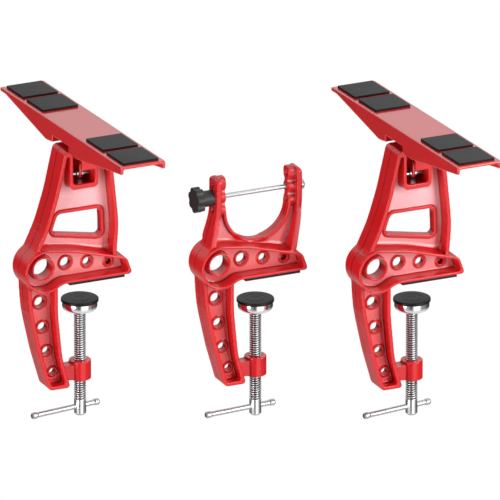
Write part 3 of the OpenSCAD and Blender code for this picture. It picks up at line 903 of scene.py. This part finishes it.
def plate_lean(vise):
    """Lean of the rest plate as it stands, from the corners of its near and far end."""
    spots = [v.co for v in frame["nodes"][f"{vise}_rest_plate"].data.vertices]
    near = min(spots, key=lambda p: p.y - p.z)
    far = max(spots, key=lambda p: p.y + p.z)
    near_top = max((p for p in spots if p.y < near.y + 2 * MM), key=lambda p: p.z)
    return math.atan2(near_top.z - far.z, far.y - near_top.y)


class VISE_OT_rest_plates(bpy.types.Operator):
    """Rounds the two tilting rest plates"""

    bl_idname = "vise.rest_plates"
    bl_label = "Rest plates"

    def execute(self, context):
        sizes = context.scene.vise_castings
        material = painted_plate("rest_plate_paint")
        for vise in SUPPORTS:
            node = f"{vise}_rest_plate"
            lean = plate_lean(vise)
            piece = merged_copy(node, f"{vise}_plate")
            piece.data.transform(about_pivot(vise, lean))
            round_all_over(piece, sizes.voxel, sizes.plate_rounding, sizes.faces)
            piece.data.transform(about_pivot(vise, -lean))
            shade(piece)
            dress(piece, material, f"{vise}_plate", [node])
        return {"FINISHED"}


class VISE_OT_rest_pads(bpy.types.Operator):
    """Models the rubber pads on the rest plates"""

    bl_idname = "vise.rest_pads"
    bl_label = "Rest pads"

    def execute(self, context):
        colours = context.scene.vise_rubber
        # The pads' sides get the black rubber as painted shade
        painted_side_shade = colours.black
        material = rubber("pad_rubber", colours.pad, roughness=0.62, scale=900.0, painted_side_shade=painted_side_shade)
        for vise in SUPPORTS:
            lean = plate_lean(vise)
            for i in range(1, 5):
                self.pad(f"{vise}_pad_{i}", vise, lean, colours.edge, material)
        return {"FINISHED"}

    def pad(self, node, vise, lean, edge, material):
        """A block of the pad's size with rounded upright edges and then all edges eased."""
        level = merged_copy(node, "level_pad")
        level.data.transform(about_pivot(vise, lean))
        spots = [v.co for v in level.data.vertices]
        low = Vector(map(min, zip(*spots)))
        high = Vector(map(max, zip(*spots)))
        size = high - low
        bpy.data.objects.remove(level)
        deselect()
        bpy.ops.mesh.primitive_cube_add(size=1, location=(low + high) / 2)
        piece = bpy.context.object
        piece.name = f"{node}_rubber"
        piece.scale = size
        bake_place(piece)
        edit(piece)
        bpy.ops.mesh.select_all(action="DESELECT")
        object_mode()
        for side in piece.data.edges:
            a, b = [piece.data.vertices[v].co for v in side.vertices]
            side.select = abs(a.z - b.z) > size.z / 2
        bpy.ops.object.mode_set(mode="EDIT")
        bpy.ops.mesh.select_mode(type="EDGE")
        bpy.ops.mesh.bevel(offset=edge, segments=3, affect="EDGES")
        object_mode()
        apply_modifier(piece, "BEVEL", width=edge, segments=4, limit_method="ANGLE")
        piece.data.transform(about_pivot(vise, -lean))
        shade(piece, 40)
        dress(piece, material, f"{vise}_plate", [node])


class VISE_OT_jaw_pads(bpy.types.Operator):
    """Models the black strips under the jaws"""

    bl_idname = "vise.jaw_pads"
    bl_label = "Jaw pads"

    def execute(self, context):
        black = context.scene.vise_rubber.black
        material = rubber("strip_rubber", black, roughness=0.5, scale=700.0)
        for vise in VISES:
            node = f"{vise}_jaw_pad"
            piece = merged_copy(node, f"{vise}_strip")
            edit(piece)
            bpy.ops.mesh.dissolve_limited(angle_limit=math.radians(2))
            object_mode()
            apply_modifier(piece, "BEVEL", width=0.6 * MM, segments=4, limit_method="ANGLE")
            shade(piece, 40)
            dress(piece, material, "root", [node])
        return {"FINISHED"}


# Spindle: height of the plain lower end, gap between thread and cup, radius of the neck
PLAIN_END = 17.4 * MM
CUP_GAP = 1.5 * MM
NECK = 4 * MM

# Cross bar: radius of the bar, of its hole and of its crimped ends, and the length of these
BAR = 2.7 * MM
BAR_HOLE = 2.78 * MM
CRIMP = 3.35 * MM
CRIMP_LENGTH = 6.5 * MM

# Roughness of the drawn steel of bars and rod
BAR_ROUGHNESS = 0.36


class VISE_OT_spindles(bpy.types.Operator):
    """Models the threaded spindles and their cross bars"""

    bl_idname = "vise.spindles"
    bl_label = "Spindles and cross bars"

    def execute(self, context):
        metal = context.scene.vise_metal
        bar_chrome = plated("bar_chrome", metal.steel, BAR_ROUGHNESS, scratch=0.0)
        for vise in VISES:
            node = f"{vise}_spindle"
            low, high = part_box(node)
            crest = (high.x - low.x) / 2
            root = crest - metal.thread_depth
            piece = self.spindle(vise, low.z, high.z, root, crest, metal.pitch)
            chrome = plated(
                f"{vise}_spindle_chrome",
                metal.chrome,
                roughness=0.2,
                scratch=0.1,
                thread=(*spindle_axis(vise), root, crest),
            )
            dress(piece, chrome, f"{vise}_screw", [node])
            bar = self.bar(vise)
            dress(bar, bar_chrome, f"{vise}_bar", [f"{vise}_cross_bar"])
        return {"FINISHED"}

    def spindle(self, vise, foot, top, root, crest, pitch):
        """A helical thread between a turned neck and a plain lower end with a cross hole."""
        thread_low = foot + PLAIN_END
        thread_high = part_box(f"{vise}_foot_cup")[0].z - CUP_GAP
        thread = self.thread(root, crest, pitch, thread_low, thread_high)
        lower = revolve(
            f"{vise}_lower",
            [
                (0, foot, 0),
                (crest - 1.6 * MM, foot, 0.5 * MM),
                (crest, foot + 1.6 * MM, 0.8 * MM),
                (crest, thread_low - 0.6 * MM, 0.3 * MM),
                (root, thread_low + 0.4 * MM, 0),
                (0, thread_low + 0.4 * MM, 0),
            ],
        )
        self.cross_hole(lower, vise)
        upper = revolve(
            f"{vise}_upper",
            [
                (0, thread_high - 0.5 * MM, 0),
                (root, thread_high - 0.5 * MM, 0),
                (root, thread_high + 0.9 * MM, 0.2 * MM),
                (NECK, thread_high + 1.05 * MM, 0),
                (NECK, top - 1.6 * MM, 0),
                (5.6 * MM, top - 1.6 * MM, 0.2 * MM),
                (5.4 * MM, top - 0.5 * MM, 0.3 * MM),
                (3.4 * MM, top, 0.6 * MM),
                (0, top, 0),
            ],
        )
        activate(thread)
        lower.select_set(True)
        upper.select_set(True)
        bpy.ops.object.join()
        thread.name = f"{vise}_screw_spindle"
        thread.location = (*spindle_axis(vise), 0)
        bake_place(thread)
        shade(thread, 32)
        return thread

    def thread(self, root, crest, pitch, low, high):
        """One flank profile swept round and up, cut flat and closed at both ends."""
        deselect()
        bpy.ops.mesh.primitive_circle_add(vertices=3)
        piece = bpy.context.object
        flat = 0.12 * pitch
        start = low - 1.5 * pitch
        flank = [
            (root, start),
            (root, start + flat / 2),
            (crest, start + pitch / 2 - flat),
            (crest, start + pitch / 2 + flat),
            (root, start + pitch - flat / 2),
            (root, start + pitch),
        ]
        outline(piece, flank)
        apply_modifier(
            piece,
            "SCREW",
            angle=math.tau,
            screw_offset=pitch,
            iterations=int((high - start) / pitch) + 2,
            steps=48,
            render_steps=48,
            use_merge_vertices=True,
            merge_threshold=SAME_POINT,
        )
        edit(piece)
        bpy.ops.mesh.remove_doubles(threshold=2 * SAME_POINT)
        for cut, keep_above in ((low, True), (high, False)):
            bpy.ops.mesh.select_all(action="SELECT")
            bpy.ops.mesh.bisect(
                plane_co=(0, 0, cut),
                plane_no=(0, 0, 1),
                use_fill=True,
                clear_inner=keep_above,
                clear_outer=not keep_above,
            )
        bpy.ops.mesh.select_all(action="SELECT")
        bpy.ops.mesh.normals_make_consistent(inside=False)
        object_mode()
        return piece

    def cross_hole(self, lower, vise):
        """Drills the hole that the cross bar slides in."""
        direction = Vector(joint(f"{vise}_bar_slide")["axis"])
        deselect()
        bpy.ops.mesh.primitive_cylinder_add(
            vertices=48,
            radius=BAR_HOLE,
            depth=30 * MM,
            location=(0, 0, middle(f"{vise}_cross_bar").z),
            rotation=direction.to_track_quat("Z", "Y").to_euler(),
        )
        drill = bpy.context.object
        apply_modifier(lower, "BOOLEAN", object=drill, operation="DIFFERENCE", solver="EXACT")
        bpy.data.objects.remove(drill)

    def bar(self, vise):
        """A sliding bar with crimped, rounded ends."""
        node = f"{vise}_cross_bar"
        direction = Vector(joint(f"{vise}_bar_slide")["axis"])
        hub = Vector((*spindle_axis(vise), middle(node).z))
        reach = [(v.co - hub).dot(direction) for v in frame["nodes"][node].data.vertices]
        start, end = min(reach), max(reach)
        piece = revolve(
            f"{vise}_sliding_bar",
            [
                (0, start, 0),
                (CRIMP - 0.9 * MM, start, 0.4 * MM),
                (CRIMP, start + 1.2 * MM, 0.9 * MM),
                (CRIMP, start + CRIMP_LENGTH - 1.6 * MM, 0.8 * MM),
                (BAR, start + CRIMP_LENGTH, 0.8 * MM),
                (BAR, end - CRIMP_LENGTH, 0.8 * MM),
                (CRIMP, end - CRIMP_LENGTH + 1.6 * MM, 0.8 * MM),
                (CRIMP, end - 1.2 * MM, 0.9 * MM),
                (CRIMP - 0.9 * MM, end, 0.4 * MM),
                (0, end, 0),
            ],
            steps=48,
        )
        turn = direction.to_track_quat("Z", "Y").to_matrix().to_4x4()
        piece.data.transform(Matrix.Translation(hub) @ turn)
        shade(piece, 35)
        return piece


class VISE_OT_feet(bpy.types.Operator):
    """Models the swivelling feet: chromed cups and their rubber caps"""

    bl_idname = "vise.feet"
    bl_label = "Feet"

    def execute(self, context):
        metal = context.scene.vise_metal
        chrome = plated("cup_chrome", metal.chrome, roughness=0.1, scratch=0.06)
        black = context.scene.vise_rubber.black
        cap_rubber = rubber("cap_rubber", black, roughness=0.46, scale=500.0)
        for vise in VISES:
            cup = self.cup(vise)
            dress(cup, chrome, f"{vise}_foot", [f"{vise}_foot_cup"])
            cap = self.cap(vise)
            dress(cap, cap_rubber, f"{vise}_foot", [f"{vise}_foot_cap"])
        return {"FINISHED"}

    def cup(self, vise):
        """A thin cup with a rounded foot and a hole for the neck."""
        low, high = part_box(f"{vise}_foot_cup")
        radius = (high.x - low.x) / 2
        inside = radius - 1.6 * MM
        floor = low.z + 2 * MM
        hole = 5 * MM
        return self.turned(
            f"{vise}_cup",
            vise,
            [
                (hole, low.z + 0.5 * MM, 0),
                (hole, low.z, 0.3 * MM),
                (radius, low.z, 5 * MM),
                (radius, high.z, 0.35 * MM),
                (inside, high.z, 0.3 * MM),
                (inside, floor, 3.4 * MM),
                (hole, floor, 0.3 * MM),
                (hole, low.z + 0.5 * MM, 0),
            ],
        )

    def cap(self, vise):
        """A rubber cap over the cup, with a dished middle and a moulded ring."""
        low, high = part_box(f"{vise}_foot_cap")
        radius = (high.x - low.x) / 2
        spigot = 16.1 * MM
        rim = high.z - 3 * MM
        dish = high.z - 0.25 * MM
        return self.turned(
            f"{vise}_cap",
            vise,
            [
                (0, dish, 0),
                (4 * MM, dish, 0.8 * MM),
                (5 * MM, high.z, 0.5 * MM),
                (9.6 * MM, high.z, 0.2 * MM),
                (10 * MM, dish, 0.15 * MM),
                (10.4 * MM, high.z, 0.2 * MM),
                (radius, high.z, 0.9 * MM),
                (radius, rim, 0.4 * MM),
                (spigot, rim, 0.1 * MM),
                (spigot, low.z, 0.4 * MM),
                (0, low.z, 0),
            ],
        )

    @staticmethod
    def turned(name, vise, points):
        """A turned piece on the spindle's axis."""
        piece = revolve(name, points, spindle_axis(vise), steps=128)
        shade(piece, 40)
        return piece


class VISE_OT_knob(bpy.types.Operator):
    """Rounds the star knob and models the cross rod with its domed head"""

    bl_idname = "vise.knob"
    bl_label = "Knob and rod"

    def execute(self, context):
        metal = context.scene.vise_metal
        knob = merged_copy("star_knob", "knob")
        round_all_over(knob, voxel=0.3 * MM, passes=9, most_faces=60000)
        shade(knob)
        plastic_black = plastic("knob_plastic", context.scene.vise_rubber.plastic)
        dress(knob, plastic_black, "knob", ["star_knob"])
        steel = plated("rod_steel", metal.steel, BAR_ROUGHNESS, scratch=0.0)
        dress(self.rod(), steel, "rod", ["cross_rod"])
        return {"FINISHED"}

    def rod(self):
        """The cross rod with its domed head."""
        low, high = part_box("cross_rod")
        head_r = (high.z - low.z) / 2
        rod_r = 2.3 * MM
        face = high.x - 6.5 * MM
        rise = 2.4 * MM
        angles = [math.radians(9 * k) for k in range(10)]
        dome = [(head_r * math.cos(a), high.x - rise + rise * math.sin(a), 0) for a in angles]
        shaft = [(0, low.x, 0), (rod_r, low.x, 0.4 * MM), (rod_r, face, 0)]
        head = [(head_r, face, 0.3 * MM), *dome, (0, high.x, 0)]
        piece = revolve("rod", shaft + head, steps=48)
        turn = Matrix.Rotation(math.radians(90), 4, "Y")
        axis = Vector((0, (low.y + high.y) / 2, (low.z + high.z) / 2))
        piece.data.transform(Matrix.Translation(axis) @ turn)
        shade(piece, 35)
        return piece


class VISE_OT_small_parts(bpy.types.Operator):
    """Plates the pins, washers and screws that stay as they are"""

    bl_idname = "vise.small_parts"
    bl_label = "Small parts"

    def execute(self, context):
        metal = context.scene.vise_metal
        zinc = plated("zinc_plate", metal.zinc, roughness=0.3, scratch=0.2)
        brass = plated("turned_brass", metal.brass, roughness=0.28, scratch=0.2)
        names = [f"{vise}_thrust_washer" for vise in VISES]
        for part in ("pivot_pin", "pivot_washers", "friction_screw"):
            names += [f"{vise}_{part}" for vise in SUPPORTS]
        names.append("knob_washer")
        for name in names:
            self.paint(name, zinc)
        self.paint("knob_insert", brass)
        return {"FINISHED"}

    @staticmethod
    def paint(name, material):
        """Gives a CAD node's own mesh its finish."""
        frame["nodes"][name].data.materials.clear()
        frame["nodes"][name].data.materials.append(material)


# Share of the surroundings' light that is kept off matt surfaces, so that hollows stay dark
FILL_CUT = 0.5

# Brightness of the surroundings, as pairs of place and brightness. The first and the third run
# from straight behind (0) to straight in front (1), the second from the left (0) to the right (1)
BEHIND = ((0.0, 0.05), (0.3, 0.08), (0.42, 0.2), (0.5, 0.25))
BEFORE = (
    (0.0, 0.25),
    (0.06, 0.3),
    (0.14, 0.9),
    (0.2, 0.55),
    (0.32, 0.35),
    (0.46, 0.08),
    (0.56, 0.3),
    (0.67, 2.1),
    (0.88, 1.7),
    (0.96, 0.3),
)
OVERHEAD = ((0.0, 1.0), (0.22, 0.9), (0.36, 0.3), (0.5, 0.3), (0.75, 0.28), (1.0, 0.22))
OVERHEAD_LIGHT = 1.05
GROUND_LIGHT = 0.85

# Lamps: name, place, width and height, watts, whether gloss reflects it
LAMPS = (
    ("left_strip", (-1.9, -0.75, 0.1), (0.8, 1.8), 28.0, True),
    ("right_strip", (1.2, -1.7, 0.5), (0.8, 1.5), 33.0, True),
    ("top_soft", (0.7, -0.6, 1.7), (1.0, 1.0), 7.0, True),
    ("key_small", (-1.0, -2.2, 1.7), (0.35, 0.35), 3.0, True),
    ("back_soft", (1.1, 1.9, 0.9), (1.2, 1.2), 8.0, False),
)


class VISE_OT_stage(bpy.types.Operator):
    """Sets up the white surroundings, the soft studio lights and the camera"""

    bl_idname = "vise.stage"
    bl_label = "Stage"

    def execute(self, context):
        stage = context.scene.vise_stage
        self.world(stage.azimuth)
        self.floor()
        self.lights()
        self.camera(stage)
        context.scene.view_settings.view_transform = "Standard"
        context.scene.view_settings.look = "None"
        return {"FINISHED"}

    def world(self, azimuth):
        """White to the camera; to the paint and chrome, a sweep with dark and bright panels."""
        world = bpy.data.worlds.new("studio")
        bpy.context.scene.world = world
        world.use_nodes = True
        nodes = Nodes(world.node_tree)
        x, y, z = nodes.parts(nodes.node("ShaderNodeTexCoord", output="Generated"))
        flat = (x * x + y * y + 1e-6) ** 0.5
        front = (x * math.sin(azimuth) - y * math.cos(azimuth)) / flat
        side = (x * math.cos(azimuth) + y * math.sin(azimuth)) / flat
        back_to_front = front * 0.5 + 0.5
        behind = nodes.ramp(back_to_front, BEHIND)
        before = nodes.ramp(side * 0.5 + 0.5, BEFORE)
        level = nodes.mix(front.above(0.05, 0.3), behind, before)
        share = nodes.ramp(back_to_front, OVERHEAD)
        overhead = nodes.mix(share, grey(0), grey(OVERHEAD_LIGHT))
        above = nodes.ramp(z, ((0.02, 0.0), (0.25, 1.0)))
        below = nodes.ramp(z * 0.5 + 0.5, ((0.15, 1.0), (0.31, 0.0)))
        light = nodes.mix(above, level, overhead)
        light = nodes.mix(below, light, grey(GROUND_LIGHT))
        fill = nodes.node("ShaderNodeLightPath", output="Is Diffuse Ray")
        light = nodes.mix(fill * FILL_CUT, light, grey(0))
        seen = nodes.node("ShaderNodeLightPath", output="Is Camera Ray")
        light = nodes.mix(seen, light, grey(1))
        background = nodes.node("ShaderNodeBackground", values={"Color": light, "Strength": 1.0})
        output = nodes.tree.nodes.new("ShaderNodeOutputWorld")
        nodes.tree.links.new(background.socket, output.inputs[0])

    def floor(self):
        """A plain white floor, below the lowest reach of the cross bars."""
        lowest = min(
            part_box(f"{vise}_cross_bar")[0].z + min(joint(f"{vise}_foot_feed")["range_m"])
            for vise in VISES
        )
        deselect()
        bpy.ops.mesh.primitive_plane_add(size=40, location=(0, 0, lowest - 5 * MM))
        piece = bpy.context.object
        piece.name = "floor"
        bake_place(piece)
        piece.data.materials.append(
            Shader("white_floor").finish(
                Base_Color=grey(0),
                Specular_IOR_Level=0.0,
                Emission_Color=grey(1),
                Emission_Strength=1.0,
            )
        )
        piece.visible_diffuse = False
        piece.visible_glossy = False
        piece.visible_shadow = False

    def lights(self):
        """Soft area lamps that face the middle of the set."""
        target = Vector((0, 0, 0.02))
        for name, place, size, power, glossy in LAMPS:
            data = bpy.data.lights.new(name, "AREA")
            data.shape = "RECTANGLE"
            data.size, data.size_y = size
            data.energy = power
            lamp = bpy.data.objects.new(name, data)
            bpy.context.scene.collection.objects.link(lamp)
            lamp.location = place
            lamp.visible_glossy = glossy
            lamp.rotation_euler = (target - Vector(place)).to_track_quat("-Z", "Y").to_euler()

    def camera(self, stage):
        """A long lens that looks down on the front of the centre hub."""
        a, e = stage.azimuth, stage.elevation
        back = Vector((math.sin(a) * math.cos(e), -math.cos(a) * math.cos(e), math.sin(e)))
        right = Vector((math.cos(a), math.sin(a), 0))
        up = back.cross(right)
        hub_front = hub_bore("centre")
        hub_front.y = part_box("centre_frame")[0].y
        aim = hub_front + right * stage.aim_right + up * stage.aim_up
        data = bpy.data.cameras.new("camera")
        data.sensor_width = 36
        data.lens = data.sensor_width * stage.distance / stage.field
        data.clip_end = 100
        camera = bpy.data.objects.new("camera", data)
        bpy.context.scene.collection.objects.link(camera)
        camera.location = aim + back * stage.distance
        camera.rotation_mode = "QUATERNION"
        camera.rotation_quaternion = back.to_track_quat("Z", "Y")
        bpy.context.scene.camera = camera


class VISE_PT_panel(bpy.types.Panel):
    """Lists the steps in the order in which they are run"""

    bl_idname = "VISE_PT_panel"
    bl_label = "Ski vises"
    bl_space_type = "VIEW_3D"
    bl_region_type = "UI"
    bl_category = "Ski vises"

    def draw(self, context):
        for step in STEPS:
            self.layout.operator(step.bl_idname)


STEPS = (
    VISE_OT_stage,
    VISE_OT_castings,
    VISE_OT_rest_plates,
    VISE_OT_rest_pads,
    VISE_OT_jaw_pads,
    VISE_OT_spindles,
    VISE_OT_feet,
    VISE_OT_knob,
    VISE_OT_small_parts,
)
CLASSES = (*SETTINGS.values(), *STEPS, VISE_PT_panel)


def register():
    for cls in CLASSES:
        bpy.utils.register_class(cls)
    for name, cls in SETTINGS.items():
        setattr(bpy.types.Scene, name, PointerProperty(type=cls))


def unregister():
    for name in SETTINGS:
        delattr(bpy.types.Scene, name)
    for cls in reversed(CLASSES):
        bpy.utils.unregister_class(cls)


def main():
    register()
    bpy.ops.vise.stage()
    bpy.ops.vise.castings()
    bpy.ops.vise.rest_plates()
    bpy.ops.vise.rest_pads()
    bpy.ops.vise.jaw_pads()
    bpy.ops.vise.spindles()
    bpy.ops.vise.feet()
    bpy.ops.vise.knob()
    bpy.ops.vise.small_parts()


if __name__ == "__main__":
    main()
